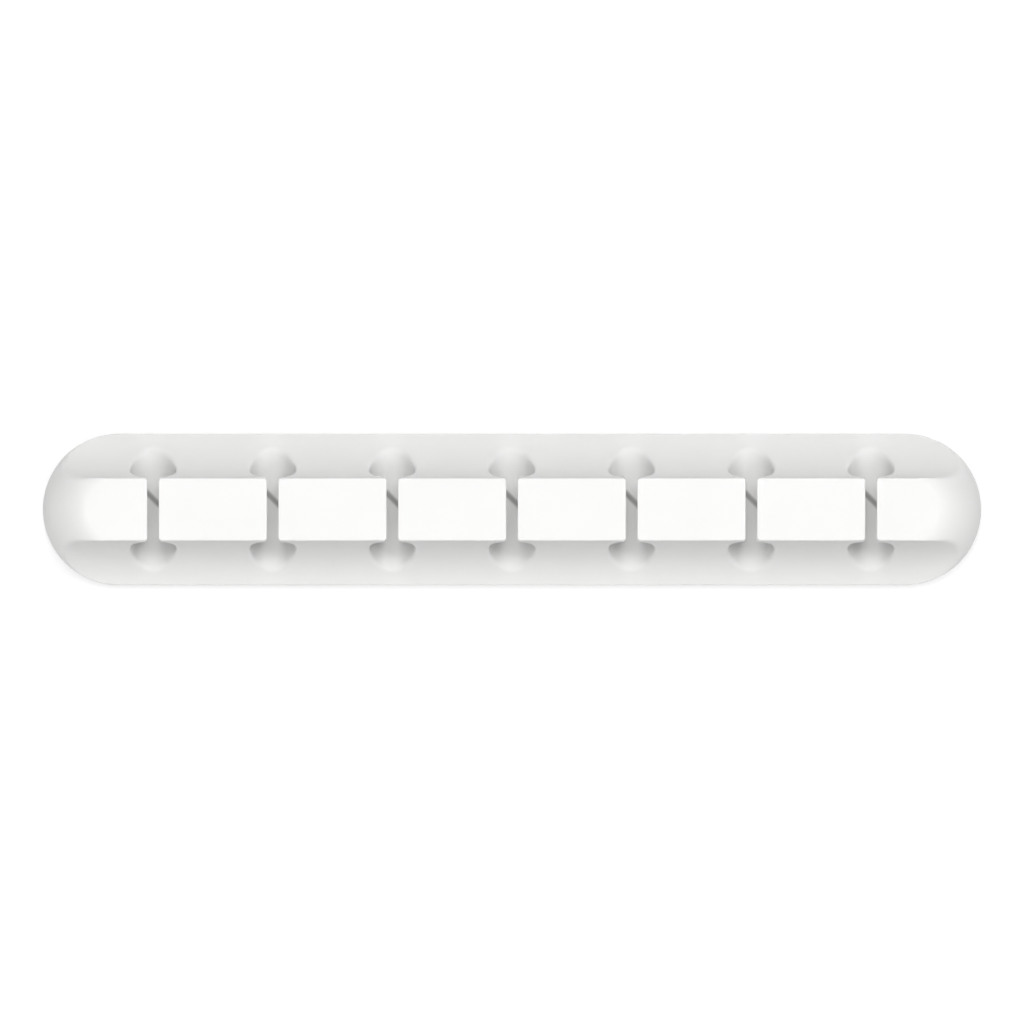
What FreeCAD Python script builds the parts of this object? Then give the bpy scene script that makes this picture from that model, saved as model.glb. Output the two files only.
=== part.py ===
import FreeCAD, Part
import math
import os

import Sketcher

# Adhesive cable clip: a soft moulded strip with seven cable channels across it,
# held down by a foam tape pad that sits in a shallow recess in its underside.
#
# The origin is the middle of the pad's sticky face. X runs along the strip,
# Y across it, the way the cables lie, and Z away from the surface it is stuck to.

# Driving sizes in millimetres: alias, value, what it is
SIZES = [
    ("channel_count", 7, "cable channels along the strip"),
    ("channel_pitch", 15.8, "from one channel's centre to the next"),
    ("end_margin", 4.6, "last channel's centre to the upright axis of the rounded end"),
    ("body_width", 20.0, "width of the strip, and diameter of its rounded ends"),
    ("flat_width", 8.3, "width of the flat top, between the two coves"),
    ("rim_height", 1.0, "plain wall that a cove leaves along the foot"),
    ("tip_height", 1.5, "plain wall that the crown leaves round each end"),
    ("crown_lead", 0.05, "how far beyond half the flat's width the crown starts"),
    ("crown_turn", 1.9, "radius that turns the flat top over into the crown"),
    ("crown_sweep", 20.0, "radius of the crown's long slope"),
    ("crown_heel", 4.5, "radius that turns the crown's foot into the plain wall"),
    ("channel_bore", 6.0, "diameter of a cable channel"),
    ("channel_floor", 2.0, "material under a channel, the recess included"),
    ("neck_height", 1.5, "top of a channel to the flat top, which the slit cuts through"),
    ("slit_width", 1.5, "width of the slit that a cable is pressed through"),
    ("lip_round", 0.4, "rounding where the slit opens into the channel"),
    ("edge_round", 0.2, "rounding of the long edges of the coves"),
    ("mouth_break", 0.15, "width of the bevel round the mouths of the channels and slits"),
    ("foot_round", 0.3, "rounding of the bottom edge"),
    ("recess_inset", 1.2, "outline of the strip to the wall of the tape recess"),
    ("recess_depth", 0.6, "depth of the tape recess in the underside"),
    ("tape_clearance", 0.15, "gap between the tape's edge and the recess wall"),
    ("tape_thickness", 1.1, "thickness of the foam tape pad"),
]

# Lengths that several features share, in the names of the sheet
END_AXIS = "((sizes.channel_count - 1) * sizes.channel_pitch / 2 + sizes.end_margin)"
HALF_WIDTH = "(sizes.body_width / 2)"
HALF_FLAT = "(sizes.flat_width / 2)"
CHANNEL_HEIGHT = "(sizes.channel_floor + sizes.channel_bore / 2)"
BODY_HEIGHT = "(sizes.channel_floor + sizes.channel_bore + sizes.neck_height)"
RECESS_RADIUS = f"({HALF_WIDTH} - sizes.recess_inset)"
TAPE_RADIUS = f"({RECESS_RADIUS} - sizes.tape_clearance)"

# A cove starts upright at the edge of the flat top and ends at the rim, so one
# radius fits: the square on its reach plus the square on its drop, over twice the reach
COVE_REACH = f"({HALF_WIDTH} - {HALF_FLAT})"
COVE_DROP = f"({BODY_HEIGHT} - sizes.rim_height)"
COVE_RADIUS = f"(({COVE_REACH}^2 + {COVE_DROP}^2) / (2 * {COVE_REACH}))"


def make_sheet(doc):
    """Spreadsheet of the driving sizes, each under its alias."""
    sheet = doc.addObject("Spreadsheet::Sheet", "sizes")
    for row, (alias, value, meaning) in enumerate(SIZES, start=1):
        sheet.set(f"A{row}", alias)
        sheet.set(f"B{row}", str(value))
        sheet.setAlias(f"B{row}", alias)
        sheet.set(f"C{row}", meaning)
    doc.recompute()
    return sheet


# Sketching


def origin_feature(body, role):
    """Plane or axis of the body's own origin."""
    return next(f for f in body.Origin.OriginFeatures if f.Role == role)


def make_sketch(body, name, plane):
    """Empty sketch on one of the body's origin planes."""
    sketch = body.newObject("Sketcher::SketchObject", name)
    sketch.AttachmentSupport = [(origin_feature(body, plane), "")]
    sketch.MapMode = "FlatFace"
    return sketch


def line(sketch, start, end):
    """Straight edge between two points of the sketch."""
    points = [FreeCAD.Vector(*start, 0), FreeCAD.Vector(*end, 0)]
    return sketch.addGeometry(Part.LineSegment(*points))


def arc(sketch, centre, radius, first_degrees, last_degrees):
    """Arc of a circle, anticlockwise from the first angle to the last."""
    circle = Part.Circle(FreeCAD.Vector(*centre, 0), FreeCAD.Vector(0, 0, 1), radius)
    angles = [math.radians(first_degrees), math.radians(last_degrees)]
    return sketch.addGeometry(Part.ArcOfCircle(circle, *angles))


def constrain(sketch, kind, *groups):
    """The same kind of constraint on each group of edges or points."""
    for group in groups:
        sketch.addConstraint(Sketcher.Constraint(kind, *group))


def bind(sketch, formula, kind, *places):
    """Dimension of the sketch that follows a formula of the sheet."""
    value = float(sketch.evalExpression(formula))
    number = sketch.addConstraint(Sketcher.Constraint(kind, *places, value))
    sketch.setExpression(f"Constraints[{number}]", formula)


def draw_middle(sketch, size):
    """Rectangle between the upright axes of the two rounded ends."""
    length = (size["channel_count"] - 1) * size["channel_pitch"] / 2 + size["end_margin"]
    width = size["body_width"] / 2
    corners = [(-length, -width), (length, -width), (length, width), (-length, width)]
    front, right, back, left = [line(sketch, corners[n - 1], corners[n]) for n in (1, 2, 3, 0)]
    constrain(sketch, "Coincident", (front, 2, right, 1), (right, 2, back, 1))
    constrain(sketch, "Coincident", (back, 2, left, 1), (left, 2, front, 1))
    constrain(sketch, "Horizontal", (front,), (back,))
    constrain(sketch, "Vertical", (left,), (right,))
    constrain(sketch, "Symmetric", (front, 1, back, 1, -1, 1))
    bind(sketch, END_AXIS, "DistanceX", -1, 1, right, 1)
    bind(sketch, HALF_WIDTH, "DistanceY", -1, 1, back, 1)


def draw_stadium(sketch, size, radius_formula):
    """Half circles about the upright axes of the two ends, joined by straight sides."""
    length = (size["channel_count"] - 1) * size["channel_pitch"] / 2 + size["end_margin"]
    radius = size["body_width"] / 2
    right = arc(sketch, (length, 0), radius, -90, 90)
    back = line(sketch, (length, radius), (-length, radius))
    left = arc(sketch, (-length, 0), radius, 90, 270)
    front = line(sketch, (-length, -radius), (length, -radius))
    constrain(sketch, "Tangent", (right, 2, back, 1), (back, 2, left, 1))
    constrain(sketch, "Tangent", (left, 2, front, 1), (front, 2, right, 1))
    constrain(sketch, "Equal", (right, left))
    constrain(sketch, "PointOnObject", (right, 3, -1))
    constrain(sketch, "Symmetric", (right, 3, left, 3, -1, 1))
    bind(sketch, END_AXIS, "DistanceX", -1, 1, right, 3)
    bind(sketch, radius_formula, "Radius", right)


def bearing(start, end):
    """Angle in degrees of the way from one point to another."""
    return math.degrees(math.atan2(end[1] - start[1], end[0] - start[0]))


def draw_crown(sketch, size):
    """Half section of a rounded end, from its upright axis out to its wall.

    The flat top turns over into a long slope, and the slope turns into the wall."""
    half, tip, top = size["body_width"] / 2, size["tip_height"], size["body_height"]
    flat = size["flat_width"] / 2 + size["crown_lead"]
    turn_centre = (flat, top - size["crown_turn"])
    heel_centre = (half - size["crown_heel"], tip)
    from_turn = size["crown_sweep"] - size["crown_turn"]
    from_heel = size["crown_sweep"] - size["crown_heel"]
    run, drop = heel_centre[0] - turn_centre[0], turn_centre[1] - heel_centre[1]
    span = math.hypot(run, drop)
    part_way = (from_turn**2 - from_heel**2 + span**2) / (2 * span)
    aside = math.sqrt(max(from_turn**2 - part_way**2, 0))
    slope_centre = (
        turn_centre[0] + (part_way * run - aside * drop) / span,
        turn_centre[1] - (part_way * drop + aside * run) / span,
    )
    low = bearing(slope_centre, heel_centre)
    steep = bearing(slope_centre, turn_centre)
    foot = line(sketch, (0, 0), (half, 0))
    wall = line(sketch, (half, 0), (half, tip))
    heel = arc(sketch, heel_centre, size["crown_heel"], 0, low)
    slope = arc(sketch, slope_centre, size["crown_sweep"], low, steep)
    turn = arc(sketch, turn_centre, size["crown_turn"], steep, 90)
    flat_top = line(sketch, (flat, top), (0, top))
    axis = line(sketch, (0, top), (0, 0))
    constrain(sketch, "Coincident", (foot, 1, -1, 1), (foot, 2, wall, 1))
    constrain(sketch, "Coincident", (flat_top, 2, axis, 1), (axis, 2, foot, 1))
    constrain(sketch, "Tangent", (wall, 2, heel, 1), (heel, 2, slope, 1))
    constrain(sketch, "Tangent", (slope, 2, turn, 1), (turn, 2, flat_top, 1))
    constrain(sketch, "Horizontal", (foot,), (flat_top,))
    constrain(sketch, "Vertical", (wall,), (axis,))
    bind(sketch, HALF_WIDTH, "DistanceX", -1, 1, wall, 1)
    bind(sketch, "sizes.tip_height", "DistanceY", wall, 1, wall, 2)
    bind(sketch, BODY_HEIGHT, "DistanceY", -1, 1, axis, 1)
    bind(sketch, f"{HALF_FLAT} + sizes.crown_lead", "DistanceX", -1, 1, flat_top, 1)
    bind(sketch, "sizes.crown_turn", "Radius", turn)
    bind(sketch, "sizes.crown_sweep", "Radius", slope)
    bind(sketch, "sizes.crown_heel", "Radius", heel)


def draw_cove(sketch, size):
    """What a cove takes away: all that lies outside its hollow quarter circle.

    The profile runs on past the strip by one cove radius, upwards and outwards."""
    radius = float(sketch.evalExpression(COVE_RADIUS))
    start, top = size["flat_width"] / 2, size["body_height"]
    outside, above = size["body_width"] / 2 + radius, top + radius
    hollow = arc(sketch, (start + radius, top), radius, 180, 270)
    ledge = line(sketch, (start + radius, top - radius), (outside, top - radius))
    outer = line(sketch, (outside, top - radius), (outside, above))
    roof = line(sketch, (outside, above), (start, above))
    inner = line(sketch, (start, above), (start, top))
    constrain(sketch, "Coincident", (hollow, 2, ledge, 1), (ledge, 2, outer, 1), (outer, 2, roof, 1))
    constrain(sketch, "Coincident", (roof, 2, inner, 1), (inner, 2, hollow, 1))
    constrain(sketch, "Horizontal", (ledge,), (roof,), (hollow, 1, hollow, 3))
    constrain(sketch, "Vertical", (outer,), (inner,), (hollow, 2, hollow, 3))
    bind(sketch, COVE_RADIUS, "Radius", hollow)
    bind(sketch, HALF_FLAT, "DistanceX", -1, 1, hollow, 1)
    bind(sketch, BODY_HEIGHT, "DistanceY", -1, 1, hollow, 1)
    bind(sketch, f"{HALF_WIDTH} + {COVE_RADIUS}", "DistanceX", -1, 1, outer, 1)
    bind(sketch, f"{BODY_HEIGHT} + {COVE_RADIUS}", "DistanceY", -1, 1, roof, 1)


def draw_channel(sketch, size):
    """Keyhole: a round channel with a slit up through the flat top, and rounded lips.

    The slit runs on above the top by half a bore."""
    bore, lip = size["channel_bore"] / 2, size["lip_round"]
    middle, half_slit = size["channel_floor"] + bore, size["slit_width"] / 2
    above = size["body_height"] + bore
    lip_x = half_slit + lip
    lip_z = middle + math.sqrt((bore + lip) ** 2 - lip_x**2)
    lean = math.degrees(math.atan2(lip_z - middle, lip_x))
    channel = arc(sketch, (0, middle), bore, 180 - lean, 360 + lean)
    right_lip = arc(sketch, (lip_x, lip_z), lip, 180, 180 + lean)
    left_lip = arc(sketch, (-lip_x, lip_z), lip, 360 - lean, 360)
    right_wall = line(sketch, (half_slit, lip_z), (half_slit, above))
    left_wall = line(sketch, (-half_slit, lip_z), (-half_slit, above))
    roof = line(sketch, (-half_slit, above), (half_slit, above))
    constrain(sketch, "Tangent", (channel, 2, right_lip, 2), (right_lip, 1, right_wall, 1))
    constrain(sketch, "Tangent", (channel, 1, left_lip, 1), (left_lip, 2, left_wall, 1))
    constrain(sketch, "Coincident", (left_wall, 2, roof, 1), (roof, 2, right_wall, 2))
    constrain(sketch, "Vertical", (right_wall,), (left_wall,))
    constrain(sketch, "Symmetric", (left_wall, 2, right_wall, 2, -2))
    constrain(sketch, "PointOnObject", (channel, 3, -2))
    constrain(sketch, "Equal", (right_lip, left_lip))
    bind(sketch, "sizes.channel_bore / 2", "Radius", channel)
    bind(sketch, "sizes.lip_round", "Radius", right_lip)
    bind(sketch, "sizes.slit_width", "DistanceX", left_wall, 2, right_wall, 2)
    bind(sketch, CHANNEL_HEIGHT, "DistanceY", -1, 1, channel, 3)
    bind(sketch, f"{BODY_HEIGHT} + sizes.channel_bore / 2", "DistanceY", -1, 1, right_wall, 2)


# Features


def add_feature(body, kind, name, **settings):
    """Feature of the body, set up and made the body's tip."""
    feature = body.newObject(f"PartDesign::{kind}", name)
    for key, value in settings.items():
        setattr(feature, key, value)
    body.Tip = feature
    return feature


def cut_through(body, name, sketch):
    """Cut the sketch's profile right through the body, both ways from its plane."""
    return add_feature(body, "Pocket", name, Profile=sketch, Type="ThroughAll", SideType="Symmetric")


def mirror(body, name, feature, plane):
    """The feature again, on the other side of one of the body's origin planes."""
    middle = (origin_feature(body, plane), [""])
    return add_feature(body, "Mirrored", name, Originals=[feature], MirrorPlane=middle)


ALONG = 0.99  # a unit axis has more than this of itself along the direction that it points in
SAME_HEIGHT = 0.001  # heights closer than this, in millimetres, are one height


def face_kind(face, top_height):
    """What a face of the strip is, from its surface and the way that it points."""
    surface = face.Surface.TypeId
    if surface == "Part::GeomPlane":
        axis = face.Surface.Axis
        if abs(axis.z) > ALONG:
            at_top = abs(face.BoundBox.ZMax - top_height) < SAME_HEIGHT
            return "flat top" if at_top else "underside"
        return "slit" if abs(axis.x) > ALONG else "wall"
    if surface == "Part::GeomCylinder":
        axis = face.Surface.Axis
        if abs(axis.x) > ALONG:
            return "cove"
        return "channel" if abs(axis.y) > ALONG else "wall"
    return "crown"


def edges_between(shape, top_height, kinds):
    """Names of the edges where the wanted kinds of face meet."""
    met = {}
    for face in shape.Faces:
        for edge in face.Edges:
            met.setdefault(edge.hashCode(), set()).add(face_kind(face, top_height))
    numbered = enumerate(shape.Edges, start=1)
    return [f"Edge{n}" for n, edge in numbered if met[edge.hashCode()] in kinds]


def soften(body, name, kind, kinds, size, alias):
    """Fillet or chamfer every edge where the wanted kinds of face meet."""
    body.Document.recompute()
    sharp = body.Tip
    edges = edges_between(sharp.Shape, size["body_height"], kinds)
    softened = add_feature(body, kind, name, Base=(sharp, edges))
    softened.setExpression("Radius" if kind == "Fillet" else "Size", f"sizes.{alias}")


# The pieces


def make_clip_body(doc, size):
    """The moulded strip, with its underside at its own origin, lifted onto the tape."""
    body = doc.addObject("PartDesign::Body", "clip_body")
    body.Label = "clip_body"
    body.setExpression("Placement.Base.z", "sizes.tape_thickness - sizes.recess_depth")

    # The straight middle
    outline = make_sketch(body, "middle_outline", "XY_Plane")
    draw_middle(outline, size)
    block = add_feature(body, "Pad", "middle_block", Profile=outline)
    block.setExpression("Length", BODY_HEIGHT)

    # A crown turned about the upright axis of each end
    crown = make_sketch(body, "crown_profile", "XZ_Plane")
    crown.setExpression("AttachmentOffset.Base.x", END_AXIS)
    draw_crown(crown, size)
    half_turn = {"Angle": 180, "Midplane": True, "ReferenceAxis": (crown, ["V_Axis"])}
    end = add_feature(body, "Revolution", "crowned_end", Profile=crown, **half_turn)
    mirror(body, "both_ends", end, "YZ_Plane")

    # The coves along both sides, which run on through the crowns
    cove = make_sketch(body, "cove_profile", "YZ_Plane")
    draw_cove(cove, size)
    back_cove = cut_through(body, "back_cove", cove)
    mirror(body, "both_coves", back_cove, "XZ_Plane")

    # The row of channels across the strip
    keyhole = make_sketch(body, "channel_profile", "XZ_Plane")
    keyhole.setExpression("AttachmentOffset.Base.x", f"sizes.end_margin - {END_AXIS}")
    draw_channel(keyhole, size)
    first_channel = cut_through(body, "first_channel", keyhole)
    row = add_feature(body, "LinearPattern", "channel_row", Originals=[first_channel], Mode="Spacing")
    row.Direction = (origin_feature(body, "X_Axis"), [""])
    row.setExpression("Offset", "sizes.channel_pitch")
    row.setExpression("Occurrences", "sizes.channel_count")

    # Soft edges, as they come out of the mould
    long_edges = [{"cove", other} for other in ("flat top", "crown", "wall")]
    soften(body, "long_edges", "Fillet", long_edges, size, "edge_round")
    mouths = [{"slit", "flat top"}, {"slit", "cove"}, {"channel", "cove"}]
    soften(body, "mouths", "Chamfer", mouths, size, "mouth_break")
    soften(body, "foot", "Fillet", [{"underside", "wall"}], size, "foot_round")

    # The recess that takes the tape
    recess = make_sketch(body, "recess_outline", "XY_Plane")
    draw_stadium(recess, size, RECESS_RADIUS)
    pocket = add_feature(body, "Pocket", "tape_recess", Profile=recess, Reversed=True)
    pocket.setExpression("Length", "sizes.recess_depth")
    return body


def make_adhesive_pad(doc, size):
    """The foam tape, cut to the shape of the recess and standing proud of it."""
    body = doc.addObject("PartDesign::Body", "adhesive_pad")
    body.Label = "adhesive_pad"
    outline = make_sketch(body, "tape_outline", "XY_Plane")
    draw_stadium(outline, size, TAPE_RADIUS)
    tape = add_feature(body, "Pad", "tape", Profile=outline)
    tape.setExpression("Length", "sizes.tape_thickness")
    return body


# The features that have to take material away
CUTS = ["back_cove", "both_coves", "first_channel", "long_edges", "mouths", "foot", "tape_recess"]


def check(doc, pieces):
    """Stop if anything failed to build, a sketch is loose or a cut missed."""
    for thing in doc.Objects:
        if {"Invalid", "Error"} & set(thing.State):
            raise RuntimeError(f"{thing.Name} failed: {thing.State}")
        if thing.TypeId == "Sketcher::SketchObject" and not thing.FullyConstrained:
            raise RuntimeError(f"{thing.Name} is not fully constrained")
    for piece in pieces:
        shape = piece.Shape
        if shape.isNull() or not shape.isValid() or len(shape.Solids) != 1:
            raise RuntimeError(f"{piece.Label} is not one valid solid")
    for cut in map(doc.getObject, CUTS):
        if cut.Shape.Volume >= cut.BaseFeature.Shape.Volume:
            raise RuntimeError(f"{cut.Name} took nothing away")


def main():
    doc = FreeCAD.newDocument("cable_clip")
    make_sheet(doc)
    size = {alias: value for alias, value, _ in SIZES}
    size["body_height"] = size["channel_floor"] + size["channel_bore"] + size["neck_height"]
    pieces = [make_clip_body(doc, size), make_adhesive_pad(doc, size)]
    doc.recompute()
    check(doc, pieces)
    os.makedirs("parts", exist_ok=True)
    for piece in pieces:
        piece.Shape.exportStep(f"parts/{piece.Label}.step")
        box = piece.Shape.BoundBox
        print(piece.Label, f"{piece.Shape.Volume:.1f} mm3, z {box.ZMin:.2f} to {box.ZMax:.2f}")


main()
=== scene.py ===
# %% [markdown]
# # A white adhesive cable clip
# The photograph looks straight down on a strip of soft white rubber. Its flat top has seven
# slits, each slit opens into a round channel for a cable, both long sides are hollowed out, and
# the two ends are rounded over. A foam tape pad lies under it.
#
# The hard facts, such as where each piece is and how large, come from the finished CAD model.
# This lesson gives that model the softness of the real thing: every edge of a moulded rubber
# part is a little round, and its skin is satin rather than glossy.

import math

import bmesh
import bpy
import numpy as np
from mathutils import Matrix, Vector


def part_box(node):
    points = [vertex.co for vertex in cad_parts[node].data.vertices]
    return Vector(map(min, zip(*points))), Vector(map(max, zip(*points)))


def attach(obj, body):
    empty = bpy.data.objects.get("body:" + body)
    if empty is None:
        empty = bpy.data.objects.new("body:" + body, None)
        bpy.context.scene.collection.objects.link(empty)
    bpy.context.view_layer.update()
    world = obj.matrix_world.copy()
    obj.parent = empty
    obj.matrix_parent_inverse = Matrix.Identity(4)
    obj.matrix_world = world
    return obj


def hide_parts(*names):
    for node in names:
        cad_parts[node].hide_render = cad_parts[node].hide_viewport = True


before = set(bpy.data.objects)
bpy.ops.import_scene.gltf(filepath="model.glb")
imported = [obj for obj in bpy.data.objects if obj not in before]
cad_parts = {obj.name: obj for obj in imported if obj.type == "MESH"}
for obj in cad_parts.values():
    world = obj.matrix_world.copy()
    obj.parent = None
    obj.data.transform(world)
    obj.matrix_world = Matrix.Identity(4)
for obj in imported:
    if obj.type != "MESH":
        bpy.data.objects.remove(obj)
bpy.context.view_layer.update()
MM = 0.001  # the scene is in metres, and sizes are easier to read in millimetres

# %% [markdown]
# ## Sizes
# The strip's box gives its length, width and height. The other sizes are the ones that a
# toolmaker would put on the drawing of the mould. All of them are in millimetres, measured from
# the middle of the pad's sticky face: X along the strip, Y across it, Z up.

# %% The sizes of the strip
low, high = [[value / MM for value in corner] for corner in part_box("clip_body")]
UNDERSIDE = low[2]
TOP = high[2]
HALF_WIDTH = high[1]
END_AXIS = high[0] - HALF_WIDTH  # upright axis that each rounded end is turned about

CHANNELS = 7
PITCH = 15.8
MARGIN = END_AXIS - (CHANNELS - 1) * PITCH / 2  # last channel to the end's axis
HALF_FLAT = 4.15  # half the width of the flat top
RIM = UNDERSIDE + 1.0  # height where a cove meets the plain wall of the foot
TIP = UNDERSIDE + 1.5  # height where a crown meets that wall
BORE = 3.0  # radius of a channel
BORE_HEIGHT = UNDERSIDE + 5.0  # height of a channel's centre
HALF_SLIT = 0.75
LIP = 0.4  # radius of the lips between a slit and its channel
LONG_EDGE = 0.2  # rounding of the long edges of the flat top
SOFT = 0.13  # how far the rounding of the other edges reaches on both sides
CREASE_SOFT = 0.6  # the same for the crease half way down an end
MOUTH_SOFT = 0.4  # and for the lowest point of a channel's mouth
FOOT = 0.3  # rounding of the bottom edge
RECESS_INSET = 1.2
RECESS_DEPTH = 0.6
print(f"end axis at {END_AXIS:.2f} mm, margin {MARGIN:.2f} mm, top at {TOP:.2f} mm")

# %% [markdown]
# ## The hollow flanks
# Cut the strip across and its outline is a flat top, a small rounded edge, and a hollow quarter
# circle that runs down to the foot. A cove could be cut with a boolean, but that leaves ragged
# triangles round every channel. Here it is one profile curve instead. Its length is its own
# coordinate, so a point on the strip's skin is just how far along the strip it lies and how far
# down the profile, like paint on an unrolled sheet of paper.

# %% The section across the strip
COVE_REACH = HALF_WIDTH - HALF_FLAT
COVE_DROP = TOP - RIM
COVE = (COVE_REACH**2 + COVE_DROP**2) / (2 * COVE_REACH)  # radius: upright at the top, to the rim
COVE_Y = HALF_FLAT + COVE
EDGE_Y = COVE_Y - math.sqrt(COVE**2 + 2 * COVE * LONG_EDGE)  # where the flat top ends
EDGE_ANGLE = math.asin(LONG_EDGE / (COVE + LONG_EDGE))  # where the rounded edge meets the cove
EDGE_END = EDGE_Y + LONG_EDGE * (math.pi / 2 - EDGE_ANGLE)


def flank(along):
    """Distance from the middle line and height, for a length along the section.

    Flat: y is the length. Rounded edge: a circle of LONG_EDGE about (EDGE_Y, TOP - LONG_EDGE).
    Cove: a circle of COVE about (COVE_Y, TOP), seen from outside it."""
    turn = math.pi / 2 - np.clip(along - EDGE_Y, 0, EDGE_END - EDGE_Y) / LONG_EDGE
    hollow = EDGE_ANGLE + (along - EDGE_END) / COVE
    flat_part = along <= EDGE_Y
    edge_part = along <= EDGE_END
    y = np.where(edge_part, EDGE_Y + LONG_EDGE * np.cos(turn), COVE_Y - COVE * np.cos(hollow))
    z = np.where(edge_part, TOP - LONG_EDGE + LONG_EDGE * np.sin(turn), TOP - COVE * np.sin(hollow))
    return np.where(flat_part, along, y), np.where(flat_part, TOP, z)


def length_at(z):
    """Length along the section where it has come down to a height, the inverse of flank."""
    over_edge = np.clip((z - TOP + LONG_EDGE) / LONG_EDGE, -1, 1)
    edge = EDGE_Y + LONG_EDGE * (math.pi / 2 - np.arcsin(over_edge))
    cove = EDGE_END + COVE * (np.arcsin(np.clip((TOP - z) / COVE, 0, 1)) - EDGE_ANGLE)
    return np.where(z > TOP - COVE * math.sin(EDGE_ANGLE), edge, cove)


def half_width(z, inset):
    """Half the width of the strip at a height, with its skin taken off by inset.

    Both circles of the section keep their centres. The edge's gets smaller by the inset, and
    the cove's gets larger."""
    edge = EDGE_Y + np.sqrt(np.clip((LONG_EDGE - inset) ** 2 - (z - TOP + LONG_EDGE) ** 2, 0, None))
    cove = COVE_Y - np.sqrt((COVE + inset) ** 2 - (TOP - z) ** 2)
    return np.where(z > TOP - (COVE + inset) * math.sin(EDGE_ANGLE), edge, cove)


print(f"cove radius {COVE:.3f} mm, flat top up to {EDGE_Y:.3f} mm from the middle line")

# %% [markdown]
# ## The crowned ends
# Seen from above each end is a half circle. Its profile, turned about an upright axis, rolls
# off the flat top slowly and gets steeper all the way to the wall, with no straight stretch.
# A superellipse does that: like an ellipse, but with a power a little lower than two, which
# starts to fall sooner. The power was chosen so that the end darkens towards its rim as it does
# in the photograph. A table of its length lets later cells walk down it in millimetres.

# %% The profile of an end
CROWN_POWER = 1.62
TABLE_STEPS = 4000
table_angle = np.linspace(0, math.pi / 2, TABLE_STEPS + 1)
table_radius = HALF_FLAT + (HALF_WIDTH - HALF_FLAT) * np.sin(table_angle) ** (2 / CROWN_POWER)
table_height = TIP + (TOP - TIP) * np.cos(table_angle) ** (2 / CROWN_POWER)
step_lengths = np.hypot(np.diff(table_radius), np.diff(table_height))
table_length = np.concatenate([[0.0], np.cumsum(step_lengths)])
CROWN_LENGTH = float(table_length[-1])


def crown(down):
    """Radius and height on an end, for a length down its profile from the flat top.

    Superellipse: (share of the way out)^p + (share of the height left)^p = 1, where p is
    CROWN_POWER. Below it the wall goes straight down."""
    radius = np.interp(down, table_length, table_radius)
    height = np.interp(down, table_length, table_height) - np.clip(down - CROWN_LENGTH, 0, None)
    return radius, height


print(f"crown: {CROWN_LENGTH:.2f} mm long, {TOP - TIP:.2f} mm high")

# %% [markdown]
# ## Where an end meets the flanks
# The coves run on through the ends, so a crown and a cove meet along a curved crease. For any
# length down the crown's profile the crown gives a height, and at that height the cove gives a
# distance from the middle line. That is one point of the crease. Beyond the crown the crease
# is the rounded outline of the wall itself.

# %% The crease between a crown and a cove
CROWN_ROWS = 32
OUTLINE_ROWS = 8

# down the crown, in even steps of the superellipse's angle
row_angle = np.linspace(0, math.pi / 2, CROWN_ROWS + 1)
crown_length = np.interp(row_angle, table_angle, table_length)
crown_radius, crown_height = crown(crown_length)
crown_angle = np.arcsin(half_width(crown_height, 0) / crown_radius)

# on round the outline of the wall, as far as the end's axis
outline_angle = np.linspace(crown_angle[-1], math.pi / 2, OUTLINE_ROWS + 1)[1:]
outline_y = HALF_WIDTH * np.sin(outline_angle)
outline_height = TOP - np.sqrt(COVE**2 - (COVE_Y - outline_y) ** 2)

# both together: places, a length down the crown and a length along the section
crease_radius = np.concatenate([crown_radius, np.full(OUTLINE_ROWS, HALF_WIDTH)])
crease_angle = np.concatenate([crown_angle, outline_angle])
crease_z = np.concatenate([crown_height, outline_height])
crease_down = np.concatenate([crown_length, CROWN_LENGTH + TIP - outline_height])
crease_x = crease_radius * np.cos(crease_angle)
crease_y = crease_radius * np.sin(crease_angle)
crease_along = length_at(crease_z)
CREASE_ROWS = len(crease_x) - 1
print(f"crease of {CREASE_ROWS} steps, foot of the crown at y {crease_y[CROWN_ROWS]:.2f} mm")

# %% [markdown]
# A mould is never sharp along such a crease. Two lines beside it, one on the cove and one on
# the crown, say where its rounding starts and ends. They leave the flat top together, are
# furthest apart half way down the end, and come close again at the wall.

# %% The lines beside the crease
OPENING_ROWS = 6  # rows over which the two lines part at the flat top
WIDEN_FROM = 5  # row where they start to move further apart
WIDEN_ROWS = 10  # rows that this takes
NARROW_ROWS = 8  # rows over which they come close again above the wall


def left_of(first, second, last_direction):
    """Unit directions to the left of a curve through the points (first, second) of a plane.

    Each is the curve's direction (a, b) turned into (-b, a). The last one's direction is given."""
    tangent = np.stack([np.gradient(first), np.gradient(second)])
    tangent[:, -1] = last_direction
    tangent /= np.linalg.norm(tangent, axis=0)
    return -tangent[1], tangent[0]


def smooth(share):
    """Smooth step: 3 share^2 - 2 share^3, with the share held between 0 and 1."""
    share = np.clip(share, 0, 1)
    return share * share * (3 - 2 * share)


crease_row = np.arange(CREASE_ROWS + 1)
below_top = smooth((crease_row - WIDEN_FROM) / WIDEN_ROWS)
above_wall = smooth((CROWN_ROWS - crease_row) / NARROW_ROWS)
crease_soft = SOFT + (CREASE_SOFT - SOFT) * below_top * above_wall
crease_soft *= smooth(crease_row / OPENING_ROWS)

side_x, side_along = left_of(crease_x, crease_along, (-1, 0))
cove_x = crease_x + crease_soft * side_x
cove_along = crease_along + crease_soft * side_along
cove_x[-1] = 0.0

arc_steps = np.diff(crease_angle) * crease_radius[1:]
arc_length = np.concatenate([[0.0], np.cumsum(arc_steps)])
side_arc, side_down = left_of(arc_length, crease_down, (1, 0))
crown_side_angle = crease_angle + crease_soft * side_arc / crease_radius
crown_side_down = crease_down + crease_soft * side_down
crown_side_angle[-1] = math.pi / 2
print(f"crease rounded up to {crease_soft.max():.2f} mm on both sides")

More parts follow.
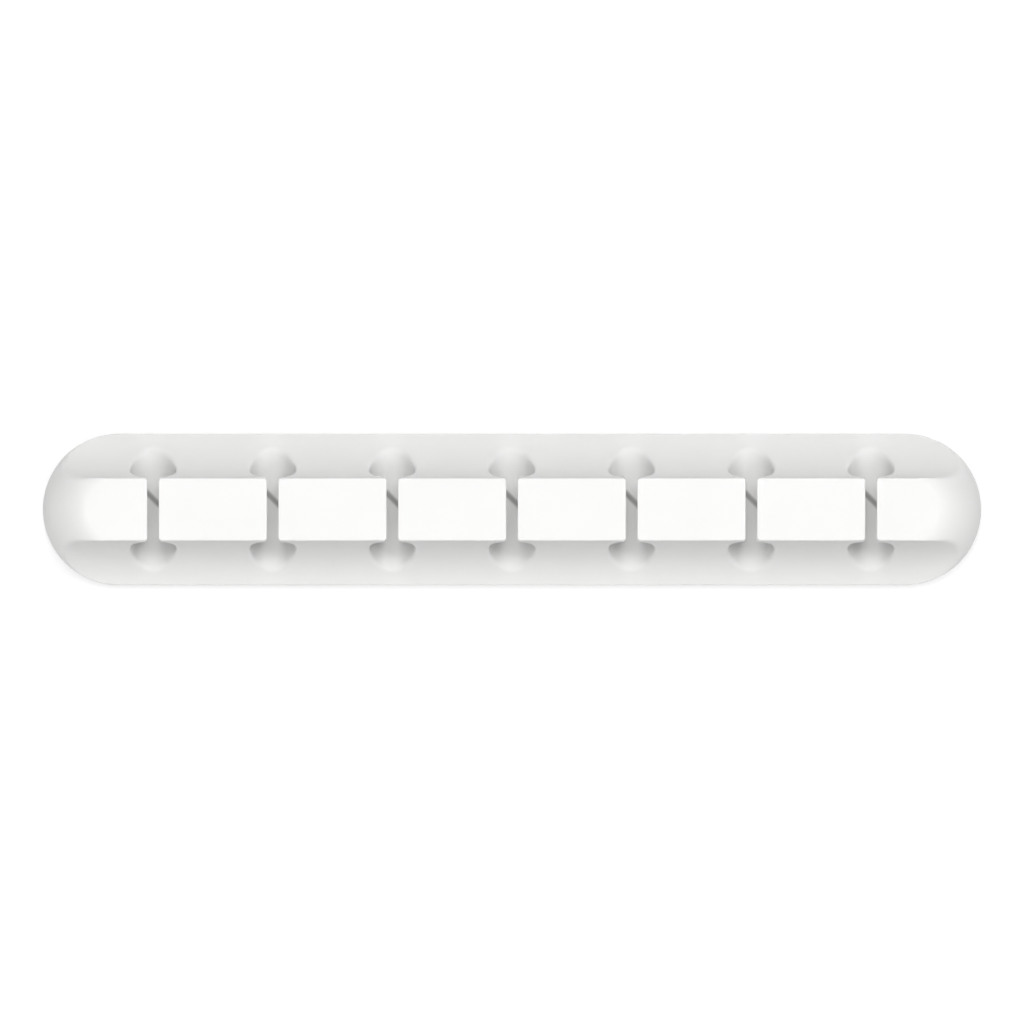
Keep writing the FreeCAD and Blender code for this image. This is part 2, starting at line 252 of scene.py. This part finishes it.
# %% [markdown]
# ## A channel's mouth
# A cable is pushed down through the slit, past two rounded lips, into the round channel. The
# keyhole shape is followed from the middle of the flat top outwards, over the long edge, down
# the slit, round the lip and along the channel to its lowest point. Half of a keyhole is
# enough, because the other half is its mirror image.

# %% Points along half a keyhole
FLAT_ROWS = 20
SLIT_ROWS, LIP_ROWS, BOTTOM_ROWS = 3, 5, 12
TOUCHING = 1e-6  # two lengths closer than this are the same
PAST_EDGE = 0.05  # rows of the crease that follow the long edge end this far down the cove
lip_x = HALF_SLIT + LIP
lip_z = BORE_HEIGHT + math.sqrt((BORE + LIP) ** 2 - lip_x**2)
lean = math.atan2(lip_z - BORE_HEIGHT, lip_x)

# lengths along the section: over the flat top, round the long edge and down the slit
flat_along = HALF_FLAT * np.sin(np.linspace(0, math.asin(EDGE_Y / HALF_FLAT), FLAT_ROWS + 1))
on_edge = (cove_along > EDGE_Y + TOUCHING) & (cove_along < EDGE_END + PAST_EDGE)
edge_along = cove_along[on_edge]
lip_along = float(length_at(np.array(lip_z)))
slit_along = np.linspace(edge_along[-1], lip_along, SLIT_ROWS + 1)[1:]

# angles round the lip and the channel, so that the keyhole has as many steps as its border
lip_angle = np.linspace(math.pi, math.pi + lean, LIP_ROWS + 1)[1:]
BORE_ROWS = CREASE_ROWS - len(edge_along) - SLIT_ROWS - LIP_ROWS + BOTTOM_ROWS
bore_angle = np.linspace(lean, -math.pi / 2, BORE_ROWS + 1)[1:]

straight = np.concatenate([flat_along, edge_along, slit_along])
mouth_x = np.concatenate([
    np.full(len(straight), HALF_SLIT),
    lip_x + LIP * np.cos(lip_angle),
    BORE * np.cos(bore_angle),
])
mouth_z = np.concatenate([
    flank(straight)[1],
    lip_z + LIP * np.sin(lip_angle),
    BORE_HEIGHT + BORE * np.sin(bore_angle),
])
mouth_x[-1] = 0.0
mouth_along = np.concatenate([straight, length_at(mouth_z[len(straight):])])
print(f"keyhole of {len(mouth_x) - 1} steps, lips {2 * HALF_SLIT} mm apart")

# %% [markdown]
# Next to that sharp line lie two more: one on the skin, a little away from the hole, and one
# inside on the channel's wall. The rounding between them is narrow at the lips, which have to
# hold a cable, and grows towards the channel's lowest point, where the photograph shows no
# edge at all but a soft bright spot.

# %% The lines beside the mouth
MOUTH_GROWTH = 0.7  # share of the channel's rows over which its rounding grows

# the line on the skin, which runs straight beside the slit on the flat top
into_hole_x, into_hole_along = left_of(mouth_x, mouth_along, (-1, 0))
into_hole_x[: FLAT_ROWS + 1], into_hole_along[: FLAT_ROWS + 1] = -1, 0
below_lips = np.arange(len(mouth_x)) - (len(straight) + LIP_ROWS)
mouth_soft = SOFT + (MOUTH_SOFT - SOFT) * smooth(below_lips / (MOUTH_GROWTH * BORE_ROWS))
skin_x = mouth_x - mouth_soft * into_hole_x
skin_along = mouth_along - mouth_soft * into_hole_along
skin_x[-1], skin_along[-1] = 0.0, mouth_along[-1] + MOUTH_SOFT

# the line on the wall, which is the keyhole's own outline sunk below the skin
edge_rows = slice(FLAT_ROWS, FLAT_ROWS + len(edge_along) + 1)
edge_length = np.clip(mouth_along[edge_rows] - EDGE_Y, 0, EDGE_END - EDGE_Y)
edge_turn = math.pi / 2 - edge_length / LONG_EDGE
edge_inner_z = TOP - LONG_EDGE + (LONG_EDGE - SOFT) * np.sin(edge_turn)
inner_z = mouth_z.copy()
inner_z[: FLAT_ROWS + 1] = TOP - SOFT
inner_z[edge_rows] = np.minimum(inner_z[edge_rows], edge_inner_z)
inner_y = half_width(inner_z, mouth_soft)
inner_y[: FLAT_ROWS + 1] = flat_along
print(f"mouth rounded by {mouth_soft[0]} mm at its lips, {mouth_soft[-1]} mm at its lowest point")

# %% [markdown]
# A soft edge is drawn between the two lines, as a curve that starts on the skin, leans towards
# the sharp line and ends on the wall. Behind it the channel itself runs straight through to
# the strip's middle.

# %% The mouth's soft edge and the channel behind it
EDGE_STEPS = 4


def points(x, y, z):
    """Points from three coordinates, each a number or an array, stretched to one shape."""
    return np.stack(np.broadcast_arrays(x, y, z), axis=-1)


def on_skin(x, along):
    """Point of the strip's skin, for a place along it and a length down its section."""
    return points(x, *flank(along))


def soft_edge(start, corner, end):
    """Rounded edge: (1-t)^2 start + 2t(1-t) corner + t^2 end, t from 0 to 1."""
    t = np.linspace(0, 1, EDGE_STEPS + 1)[:, None]
    start, corner, end = (line[:, None, :] for line in (start, corner, end))
    return (1 - t) ** 2 * start + 2 * t * (1 - t) * corner + t**2 * end


mouth_skin = on_skin(skin_x, skin_along)
mouth_inner = points(mouth_x, inner_y, inner_z)
mouth_patch = soft_edge(mouth_skin, on_skin(mouth_x, mouth_along), mouth_inner)
way_in = flat_along[:, None] / EDGE_Y
walls = mouth_inner[FLAT_ROWS:]
channel_patch = points(walls[:, 0], way_in * walls[:, 1], walls[:, 2])
print("mouth patch", mouth_patch.shape[:2], "channel patch", channel_patch.shape[:2])

# %% [markdown]
# ## The foot
# The foot is the same few steps all round the strip: down the wall, round the bottom edge, in
# to the recess for the tape, and up to the recess's ceiling.

# %% The foot and the recess
FOOT_TURN_STEPS = 4
foot_turn = np.linspace(0, math.pi / 2, FOOT_TURN_STEPS + 1)
FOOT_STEPS = np.concatenate([  # how far in from the wall, and at what height
    np.stack([FOOT - FOOT * np.cos(foot_turn), UNDERSIDE + FOOT - FOOT * np.sin(foot_turn)], axis=-1),
    [[RECESS_INSET, UNDERSIDE], [RECESS_INSET, UNDERSIDE + RECESS_DEPTH]],
])


def foot(wall, out):
    """Foot below a line of points on the wall, where out is the way out of the strip in plan.

    Each step goes in from the wall by an inset and down to a height."""
    out = np.broadcast_to(out, (len(wall), 2))
    inset = np.concatenate([[0.0], FOOT_STEPS[:, 0]])
    heights = np.broadcast_to(FOOT_STEPS[:, 1], (len(wall), len(FOOT_STEPS)))
    x = wall[:, :1] - inset * out[:, :1]
    y = wall[:, 1:2] - inset * out[:, 1:]
    return points(x, y, np.concatenate([wall[:, 2:], heights], axis=1))


def ceiling(foot_patch, centre_x):
    """Strip of the recess's ceiling, from the foot's last line in to a line or a point."""
    rim = foot_patch[:, -1]
    return np.stack([rim, points(centre_x, 0.0, rim[:, 2])], axis=1)


print(f"foot of {len(FOOT_STEPS)} steps, recess {RECESS_DEPTH} mm deep")

# %% [markdown]
# ## The skin round a channel
# The skin between one mouth and the middle of the bridge to the next is a sheet. Straight
# lines on the unrolled sheet run from the mouth to its border, and rolling the sheet back up
# lays them on the flank. Where a slit runs out into the cove, its corners are rounded in plan
# as well, so the points near them are moved apart.

# %% The patches round a channel
SPREAD = np.array([0, 0.02, 0.06, 0.14, 0.28, 0.46, 0.64, 0.82, 1.0])  # closer near the mouth
FLARE = 0.4  # radius of a slit's corners in plan
FADE = 1.6  # how far along the strip a corner moves the skin
rim_along = float(cove_along[-1])
side_line = np.concatenate([flat_along, cove_along[1:]])


def flared(patch):
    """Patch with the corners of the slit rounded in plan, where it runs out into a cove.

    At a depth under the cove, points beside the slit move away from it by
    FLARE - sqrt(FLARE^2 - (FLARE - depth)^2), fading out over FADE along the strip and below
    the slit's lips."""
    x, y, z = patch[..., 0], patch[..., 1], patch[..., 2]
    depth = np.clip(half_width(z, 0) - y, 0, FLARE)
    outward = FLARE - np.sqrt(FLARE**2 - (FLARE - depth) ** 2)
    beside_slit = smooth(1 - (x - HALF_SLIT) / FADE)
    above_lips = np.clip((z - lip_z + LIP) / LIP, 0, 1)
    return points(x + outward * beside_slit * above_lips, y, z)


def cell(width):
    """Patches of a quarter of the strip round one channel, out to a width along the strip.

    Skin: mouth + share (border - mouth) on the unrolled sheet. Its border runs down the side
    of the cell, and then along the rim to below the channel."""
    bottom_x = np.linspace(width, 0, BOTTOM_ROWS + 1)
    border_x = np.concatenate([np.full(len(side_line) - 1, width), bottom_x])
    border_along = np.concatenate([side_line[:-1], np.full(len(bottom_x), rim_along)])
    x = skin_x[:, None] + SPREAD * (border_x - skin_x)[:, None]
    along = skin_along[:, None] + SPREAD * (border_along - skin_along)[:, None]
    skin_patch = on_skin(x, along)
    skin_patch[:, 0] = mouth_skin
    rim_skin = on_skin(bottom_x, np.full(len(bottom_x), rim_along))
    rim_wall = points(bottom_x, HALF_WIDTH, RIM - SOFT)
    foot_patch = foot(rim_wall, (0, 1))
    return [
        flared(skin_patch),
        flared(mouth_patch),
        flared(channel_patch),
        soft_edge(rim_skin, points(bottom_x, HALF_WIDTH, RIM), rim_wall),
        foot_patch,
        ceiling(foot_patch, bottom_x),
    ]


wide, narrow = cell(PITCH / 2), cell(MARGIN)
print("patches of a quarter cell:", [patch.shape[:2] for patch in wide])

# %% [markdown]
# ## Half of an end
# Seen from above it is a quarter of a circle. Three sheets make it: the flank up to the crease,
# the crease's soft edge, and the crown from the crease round to the strip's middle line. On the
# crown every line keeps its own height and swings from the middle to the crease, where it bends
# to the line beside it.

# %% The patches of an end
END_SPREAD = np.linspace(0, 1, len(SPREAD))
FOLLOW = 4  # power with which a crown's line leaves its own height for the crease's edge
flat_x = np.sqrt(HALF_FLAT**2 - flat_along**2)  # out to where the crown leaves the flat top
edge_x = np.concatenate([flat_x, cove_x[1:]])
end_skin = on_skin(END_SPREAD * edge_x[:, None], side_line[:, None])


def on_crown(angle, down):
    """Point of an end: its profile at a length down, turned by an angle from the strip's line."""
    radius, height = crown(down)
    return points(radius * np.cos(angle), radius * np.sin(angle), height)


crease_patch = soft_edge(
    on_skin(cove_x, cove_along),
    points(crease_x, crease_y, crease_z),
    on_crown(crown_side_angle, crown_side_down),
)
on_profile = slice(0, CROWN_ROWS + 1)
swing = np.linspace(0, 1, FLAT_ROWS + 1)
own_down = crease_down[on_profile, None]
shift = (crown_side_down[on_profile, None] - own_down) * swing**FOLLOW
crown_patch = on_crown(swing * crown_side_angle[on_profile, None], own_down + shift)

outline_angles = crown_side_angle[CROWN_ROWS:]
wall_angle = np.concatenate([swing[:-1] * outline_angles[0], outline_angles])
wall_top = np.concatenate([crown_patch[-1, :-1, 2], crease_patch[CROWN_ROWS:, -1, 2]])
wall_out = np.stack([np.cos(wall_angle), np.sin(wall_angle)], axis=-1)
end_foot = foot(np.column_stack([HALF_WIDTH * wall_out, wall_top]), wall_out)
end_patches = [end_skin, crease_patch, crown_patch, end_foot, ceiling(end_foot, 0.0)]
print("patches of half an end:", [patch.shape[:2] for patch in end_patches])

# %% [markdown]
# ## Put the strip together
# Every patch is placed by mirroring and shifting, and then the doubles along the borders are
# merged, which leaves one closed skin. Its normals are worked out again after the merge,
# because a mirror image is inside out.

# %% One mesh from many patches
MERGE = 2e-4  # points closer than this are one
SHARP = math.radians(50)  # an edge that turns further than this stays sharp


def patch_faces(rows, columns):
    """Corner numbers of every four-sided face of a grid."""
    corner = np.arange(rows * columns).reshape(rows, columns)
    quads = [corner[:-1, :-1], corner[1:, :-1], corner[1:, 1:], corner[:-1, 1:]]
    return np.stack(quads, axis=-1).reshape(-1, 4)


def mesh_from_patches(name, patches):
    """One closed mesh from grids of points in millimetres."""
    starts = np.cumsum([0] + [patch.shape[0] * patch.shape[1] for patch in patches[:-1]])
    corners = np.concatenate([patch.reshape(-1, 3) for patch in patches]) * MM
    faces = [patch_faces(*patch.shape[:2]) + start for patch, start in zip(patches, starts)]
    mesh = bpy.data.meshes.new(name)
    mesh.from_pydata(corners, [], np.concatenate(faces), shade_flat=False)
    skin = bmesh.new()
    skin.from_mesh(mesh)
    bmesh.ops.remove_doubles(skin, verts=skin.verts, dist=MERGE * MM)
    bmesh.ops.dissolve_degenerate(skin, edges=skin.edges, dist=MERGE * MM)
    bmesh.ops.recalc_face_normals(skin, faces=skin.faces)
    for edge in skin.edges:
        edge.smooth = edge.is_manifold and edge.calc_face_angle() < SHARP
    open_edges = sum(not edge.is_manifold for edge in skin.edges)
    skin.to_mesh(mesh)
    skin.free()
    print(f"{name}: {len(mesh.polygons)} faces, {open_edges} open edges")
    return mesh


def add_piece(name, mesh):
    """Object for a mesh, at the origin, unturned and unscaled."""
    piece = bpy.data.objects.new(name, mesh)
    bpy.context.scene.collection.objects.link(piece)
    return piece


print("faces of a grid of 2 by 3 points:", patch_faces(2, 3).tolist())

# %% [markdown]
# A quarter cell and its three mirror images make the strip round one channel. The outermost
# channels have a narrower cell towards the end, and each end is two mirrored halves.

# %% The moulded strip
MIRRORS = ((1, 1), (1, -1), (-1, 1), (-1, -1))  # signs along and across the strip


def place(patches, at, along_sign, across_sign):
    """Each patch mirrored by the two signs, and then moved along the strip."""
    return [patch * (along_sign, across_sign, 1) + (at, 0, 0) for patch in patches]


strip_patches = []
for number in range(CHANNELS):
    channel_x = (number - (CHANNELS - 1) / 2) * PITCH
    for along_sign, across_sign in MIRRORS:
        outermost = number == (CHANNELS - 1 if along_sign > 0 else 0)
        strip_patches += place(narrow if outermost else wide, channel_x, along_sign, across_sign)
for along_sign, across_sign in MIRRORS:
    strip_patches += place(end_patches, along_sign * END_AXIS, along_sign, across_sign)

strip = add_piece("moulded_strip", mesh_from_patches("moulded_strip", strip_patches))
flat_faces = strip.modifiers.new("large faces stay flat", "WEIGHTED_NORMAL")
flat_faces.keep_sharp = True
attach(strip, "root")
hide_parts("clip_body")

# %% [markdown]
# ## Shader sums
# A material is a sum of simple patterns. The small class below wraps a node's socket, so that
# a sum such as 0.5 + 0.1 * noise adds the nodes for it.

# %% A socket that can be added and multiplied


class Value:
    """A shader socket that takes part in sums."""

    def __init__(self, tree, socket):
        self.tree, self.socket = tree, socket

    def node(self, kind, inputs, **settings):
        """Any node: its settings first, then values or links for its sockets.

        The sockets are named or numbered. What comes back are the node's outputs."""
        made = self.tree.nodes.new(kind)
        for name, setting in settings.items():
            setattr(made, name, setting)
        for name, value in inputs.items():
            if isinstance(value, Value):
                value.link(made.inputs[name])
            else:
                made.inputs[name].default_value = value
        return [Value(self.tree, output) for output in made.outputs]

    def link(self, socket):
        """Lead this value to a socket."""
        self.tree.links.new(self.socket, socket)

    def maths(self, operation, *others):
        """A Math node on this value, and on the others after it."""
        return self.node("ShaderNodeMath", dict(enumerate((self, *others))), operation=operation)[0]

    def __add__(self, other):
        return self.maths("ADD", other)

    def __sub__(self, other):
        return self.maths("SUBTRACT", other)

    def __rsub__(self, other):
        """other - self, as self * -1 + other."""
        return self.maths("MULTIPLY_ADD", -1.0, other)

    def __mul__(self, other):
        return self.maths("MULTIPLY", other)

    __radd__ = __add__
    __rmul__ = __mul__

    def size(self):
        """The value without its sign."""
        return self.maths("ABSOLUTE")

    def above(self, limit):
        """1 where the value is above a limit, and 0 elsewhere."""
        return self.maths("GREATER_THAN", limit)

    def below(self, limit):
        """1 where the value is below a limit, and 0 elsewhere."""
        return self.maths("LESS_THAN", limit)

    def share(self):
        """The value held between 0 and 1."""
        return self.maths("MAXIMUM", 0.0).maths("MINIMUM", 1.0)

    def repeated(self, half):
        """The value brought between -half and half by whole steps of twice that."""
        return self.maths("WRAP", half, -half)


print("besides sums:", ", ".join(name for name in vars(Value) if not name.startswith("_")))

# %% [markdown]
# Every pattern starts from Object coordinates, which are places on the piece itself, so the
# pattern stays where it is when the camera or the piece moves.

# %% Materials and their patterns


def new_material(name, constants):
    """Material with constants on its shader's own sockets, and the piece's places as a value."""
    material = bpy.data.materials.new(name)
    material.use_nodes = True
    tree = material.node_tree
    shader = next(node for node in tree.nodes if node.type == "BSDF_PRINCIPLED")
    for socket, value in constants.items():
        shader.inputs[socket].default_value = value
    coordinates = tree.nodes.new("ShaderNodeTexCoord")
    return material, shader, Value(tree, coordinates.outputs["Object"])


def noise(places, size_mm, detail=2.0, roughness=0.5):
    """Noise with blobs of about a size in millimetres, from 0 to 1."""
    scale = 1 / (size_mm * MM)
    inputs = {"Vector": places, "Scale": scale, "Detail": detail, "Roughness": roughness}
    return places.node("ShaderNodeTexNoise", inputs)[0]


def mix_colours(factor, first, second):
    """Colour between two colours, for a factor from 0 to 1."""
    factor_socket, first_socket, second_socket, colour_output = 0, 6, 7, 2
    inputs = {factor_socket: factor, first_socket: first, second_socket: second}
    return factor.node("ShaderNodeMix", inputs, data_type="RGBA")[colour_output]


def bumps(height, strength, distance_mm):
    """Normal tilted by a height map, which is at most a distance in millimetres high."""
    inputs = {"Height": height, "Strength": strength, "Distance": distance_mm * MM}
    return height.node("ShaderNodeBump", inputs)[0]


print("patterns: noise, colours mixed by a value, bumps")

# %% [markdown]
# ## White rubber
# The strip is a soft plastic rubber, filled white. Its skin copies the mould, which was
# blasted to a satin finish: grain well under half a millimetre, so shallow that it only
# breaks up the highlights. Broad, faint clouds in the gloss come from handling. A little light
# enters the rubber, which softens the shadows in the channels.

# %% The rubber's skin
GRAIN = 0.22  # size of the blasted grain
CLOUD = 9.0  # size of the clouds in the gloss
SPECK = 1.4  # size of the specks in both

rubber, rubber_shader, rubber_places = new_material("white_satin_rubber", {
    "IOR": 1.45,
    "Specular IOR Level": 0.25,
    "Subsurface Weight": 0.08,
    "Subsurface Radius": (1.0, 0.95, 0.9),
    "Subsurface Scale": 0.8 * MM,
})
grain = noise(rubber_places, GRAIN, detail=3.0, roughness=0.6)
cloud = noise(rubber_places, CLOUD, detail=2.0)
speck = noise(rubber_places, SPECK, detail=4.0)
(0.52 + 0.10 * cloud + 0.06 * speck).link(rubber_shader.inputs["Roughness"])
bumps(grain + 0.35 * speck, strength=0.12, distance_mm=0.04).link(rubber_shader.inputs["Normal"])
strip.data.materials.append(rubber)
print("rubber's skin:", len(rubber.node_tree.nodes), "nodes")

# %% [markdown]
# Through every slit a short dark slanting line shows inside the channel. It is painted shade:
# a darker line in the colour stands in for the shade there, at y = SHADE_LINE_AT - x from the
# middle of each channel.

# %% The painted shade line in every channel, and the colour
SHADE_LINE_AT = 1.4  # across the strip, where the painted shade line crosses the middle of a channel
SHADE_LINE_FALL = 1.4  # how much the painted shade line fades over each millimetre beside it
SHADE_LINE_GAIN = 1.4  # above 1, so that the middle of the painted shade line is fully dark
SHADE_LINE_REACH = 1.3  # how far the painted shade line goes to each side of a channel's middle
SHADE_LINE_LOW = UNDERSIDE + 1.0
SHADE_LINE_HIGH = TOP - 0.25
WHITE = (0.67, 0.67, 0.665, 1)
BRIGHT_WHITE = (0.69, 0.69, 0.685, 1)
# painted shade: the grey of the dark slanting line inside each channel
PAINTED_SHADE_GREY = (0.38, 0.38, 0.375, 1)

along_strip, across_strip, up = rubber_places.node("ShaderNodeSeparateXYZ", {"Vector": rubber_places})
from_middle = along_strip.repeated(PITCH / 2 * MM)
off_shade_line = (across_strip + from_middle - SHADE_LINE_AT * MM).size() * (SHADE_LINE_FALL / MM)
in_channel = from_middle.size().below(SHADE_LINE_REACH * MM) * along_strip.size().below(END_AXIS * MM)
at_height = up.above(SHADE_LINE_LOW * MM) * up.below(SHADE_LINE_HIGH * MM)
# painted shade: a slanting band inside each channel where the colour turns grey
painted_shade_line = ((1 - off_shade_line) * SHADE_LINE_GAIN).share() * in_channel * at_height

skin_colour = mix_colours(cloud, WHITE, BRIGHT_WHITE)
# the painted shade line is laid over the rubber's own colour
mix_colours(painted_shade_line, skin_colour, PAINTED_SHADE_GREY).link(rubber_shader.inputs["Base Color"])
print("white rubber:", len(rubber.node_tree.nodes), "nodes")

# %% [markdown]
# ## The foam pad
# Under the strip lies double-sided foam tape, die-cut to the outline of the recess. Its edges
# are slightly crushed by the die, so they are a little round. Its outline is two half circles
# joined by straight sides, and one profile carried round it makes the edge and both faces.

# %% The pad
pad_low, pad_high = [[value / MM for value in corner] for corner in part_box("adhesive_pad")]
PAD_RADIUS = pad_high[1]
PAD_AXIS = pad_high[0] - PAD_RADIUS
PAD_EDGE = 0.08
STRAIGHT_STEPS, TURN_STEPS = 48, 48
PAD_EDGE_STEPS, PAD_WALL_STEPS = 3, 4


def stadium(axis):
    """Centres and out directions round two half circles about (axis, 0) and (-axis, 0)."""
    turn = np.linspace(-math.pi / 2, math.pi / 2, TURN_STEPS + 1)
    run = np.linspace(axis, -axis, STRAIGHT_STEPS + 1)[1:-1]
    far_side, near_side = np.full(len(run), math.pi / 2), np.full(len(run), 1.5 * math.pi)
    angle = np.concatenate([turn, far_side, turn + math.pi, near_side])
    centre = np.concatenate([np.full(len(turn), axis), run, np.full(len(turn), -axis), -run])
    return centre[:, None], np.cos(angle)[:, None], np.sin(angle)[:, None]


def pad_patch():
    """The pad: its profile carried round the outline, with both faces closed over its middle.

    Profile: from the middle out along the bottom face, round the edge by PAD_EDGE, up the
    wall, round the other edge and back to the middle along the top face."""
    turn = np.linspace(0, math.pi / 2, PAD_EDGE_STEPS + 1)
    edge_inset = PAD_EDGE * (1 - np.sin(turn))
    z_low = pad_low[2] + PAD_EDGE * (1 - np.cos(turn))
    rise = np.linspace(z_low[-1], pad_high[2] - PAD_EDGE, PAD_WALL_STEPS + 1)[1:-1]
    z = np.concatenate([z_low, rise, (pad_high[2] + pad_low[2] - z_low)[::-1]])
    z = np.concatenate([z[:1], z, z[-1:]])
    inset = np.concatenate([edge_inset, np.zeros(len(rise)), edge_inset[::-1]])
    radius = np.concatenate([[0.0], PAD_RADIUS - inset, [0.0]])
    centre, out_x, out_y = stadium(PAD_AXIS)
    ring = points(centre + radius * out_x, radius * out_y, z)
    return np.concatenate([ring, ring[:1]])


pad = add_piece("foam_pad", mesh_from_patches("foam_pad", [pad_patch()]))
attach(pad, "root")
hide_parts("adhesive_pad")

# %% [markdown]
# The tape is a fine closed-cell foam, pale grey against the white rubber. Its cut edge shows
# the cells, which are a Voronoi pattern: each place belongs to its nearest seed, as each place
# in a foam belongs to the bubble that grew nearest to it.

# %% The pad's material
BUBBLE = 0.25  # size of a bubble of the foam
MOTTLE = 2.5  # size of its lighter and darker places
PALE_GREY = (0.60, 0.60, 0.57, 1)
LIGHT_GREY = (0.68, 0.68, 0.65, 1)

foam, foam_shader, foam_places = new_material("closed_cell_foam", {})
bubbles = {"Vector": foam_places, "Scale": 1 / (BUBBLE * MM)}
to_bubble_wall = foam_places.node("ShaderNodeTexVoronoi", bubbles, feature="DISTANCE_TO_EDGE")[0]
mottle = noise(foam_places, MOTTLE, detail=3.0)
mix_colours(mottle, PALE_GREY, LIGHT_GREY).link(foam_shader.inputs["Base Color"])
(0.70 + 0.15 * mottle).link(foam_shader.inputs["Roughness"])
bumps(to_bubble_wall, strength=0.5, distance_mm=0.06).link(foam_shader.inputs["Normal"])
pad.data.materials.append(foam)
print("foam:", len(foam.node_tree.nodes), "nodes")

# %% [markdown]
# ## The table
# The photograph shows the clip on pure white with hardly any shadow, as on a photographer's
# light table. A pale table that glows a little does the same: the glow lifts the shadow next
# to the strip and leaves the strip's own shading alone.

# %% The table
HALF_TABLE = 1.5  # half the length of its side, in metres
scene = bpy.context.scene
table_mesh = bpy.data.meshes.new("table")
corner_signs = ((-1, -1), (1, -1), (1, 1), (-1, 1))
table_corners = [(x_sign * HALF_TABLE, y_sign * HALF_TABLE, 0) for x_sign, y_sign in corner_signs]
table_mesh.from_pydata(table_corners, [], [(0, 1, 2, 3)])
white_table, _, _ = new_material("white_table", {
    "Base Color": (0.30, 0.30, 0.30, 1),
    "Roughness": 0.9,
    "Specular IOR Level": 0.0,
    "Emission Color": (1, 1, 1, 1),
    "Emission Strength": 0.65,
})
table_mesh.materials.append(white_table)
table = add_piece("table", table_mesh)
print(f"table {2 * HALF_TABLE} m square")

# %% [markdown]
# ## The light
# Broad soft boxes stand all round the strip, most of them high. White rubber shows its form
# only by slight differences in shade, so their strengths matter more than their number. They
# were found by rendering the strip with each lamp alone, and then weighing the lamps until the
# flat top, the flanks and the ends had the photograph's shades.

# %% The light
LAMP_DISTANCE = 1.2
WORLD_STRENGTH = 0.12
LAMPS = (  # name, lean in degrees along X and along Y, side in metres, power in watts
    ("above", 0, 15, 0.45, 4.7),
    ("behind", 0, 30, 0.45, 1.7),
    ("behind_low", 0, 45, 0.45, 2.2),
    ("front", 0, -45, 0.45, 5.5),
    ("right_behind", 35, 25, 0.5, 2.2),
    ("right_behind_low", 45, 50, 0.5, 0.3),
    ("left_behind", -35, 25, 0.5, 1.1),
    ("left_behind_low", -45, 50, 0.5, 0.75),
    ("left_front", -35, -30, 0.5, 2.5),
    ("right", 60, 0, 0.5, 4.3),
    ("left", -60, 0, 0.5, 2.1),
)


def soft_box(name, lean_x, lean_y, side, power):
    """Square lamp that faces the strip. It leans from upright by two angles in degrees."""
    lamp = bpy.data.lights.new(name, "AREA")
    lamp.shape, lamp.size, lamp.size_y, lamp.energy = "RECTANGLE", side, side, power
    lamp_object = bpy.data.objects.new(name, lamp)
    scene.collection.objects.link(lamp_object)
    away = Vector((math.tan(math.radians(lean_x)), math.tan(math.radians(lean_y)), 1)).normalized()
    sideways = Vector((0, 1, 0)).cross(away).normalized()
    lamp_object.location = away * LAMP_DISTANCE
    turned = Matrix((sideways, away.cross(sideways), away)).transposed()
    lamp_object.rotation_euler = turned.to_euler()


for lamp_settings in LAMPS:
    soft_box(*lamp_settings)

world = bpy.data.worlds.new("studio")
scene.world = world
world.use_nodes = True
backdrop = world.node_tree.nodes["Background"]
backdrop.inputs["Color"].default_value = (1, 1, 1, 1)
backdrop.inputs["Strength"].default_value = WORLD_STRENGTH
print(len(LAMPS), "soft boxes")

# %% [markdown]
# ## The camera
# The photograph was taken from straight above, and both sides of every channel are equally
# visible in it, even in the outermost ones. Only a long lens from far away does that, so the
# camera here stands six metres up. The picture's tone curve is a little steeper than the
# standard one, as in most product photographs.

# %% The camera
CAMERA_HEIGHT = 6.0
CAMERA_Y = -0.00034  # the strip lies a little above the middle of the picture
FRAME_WIDTH = 0.1354  # width of the picture where the table is
SENSOR = 36.0
camera = bpy.data.objects.new("camera", bpy.data.cameras.new("camera"))
camera.data.sensor_width = SENSOR
camera.data.lens = SENSOR * CAMERA_HEIGHT / FRAME_WIDTH
camera.data.clip_start, camera.data.clip_end = 0.1, 20
camera.location = (0.0, CAMERA_Y, CAMERA_HEIGHT)
scene.collection.objects.link(camera)
scene.camera = camera
scene.view_settings.view_transform = "Standard"
scene.view_settings.gamma = 0.75
print(f"lens of {camera.data.lens:.0f} mm")

# %% [markdown]
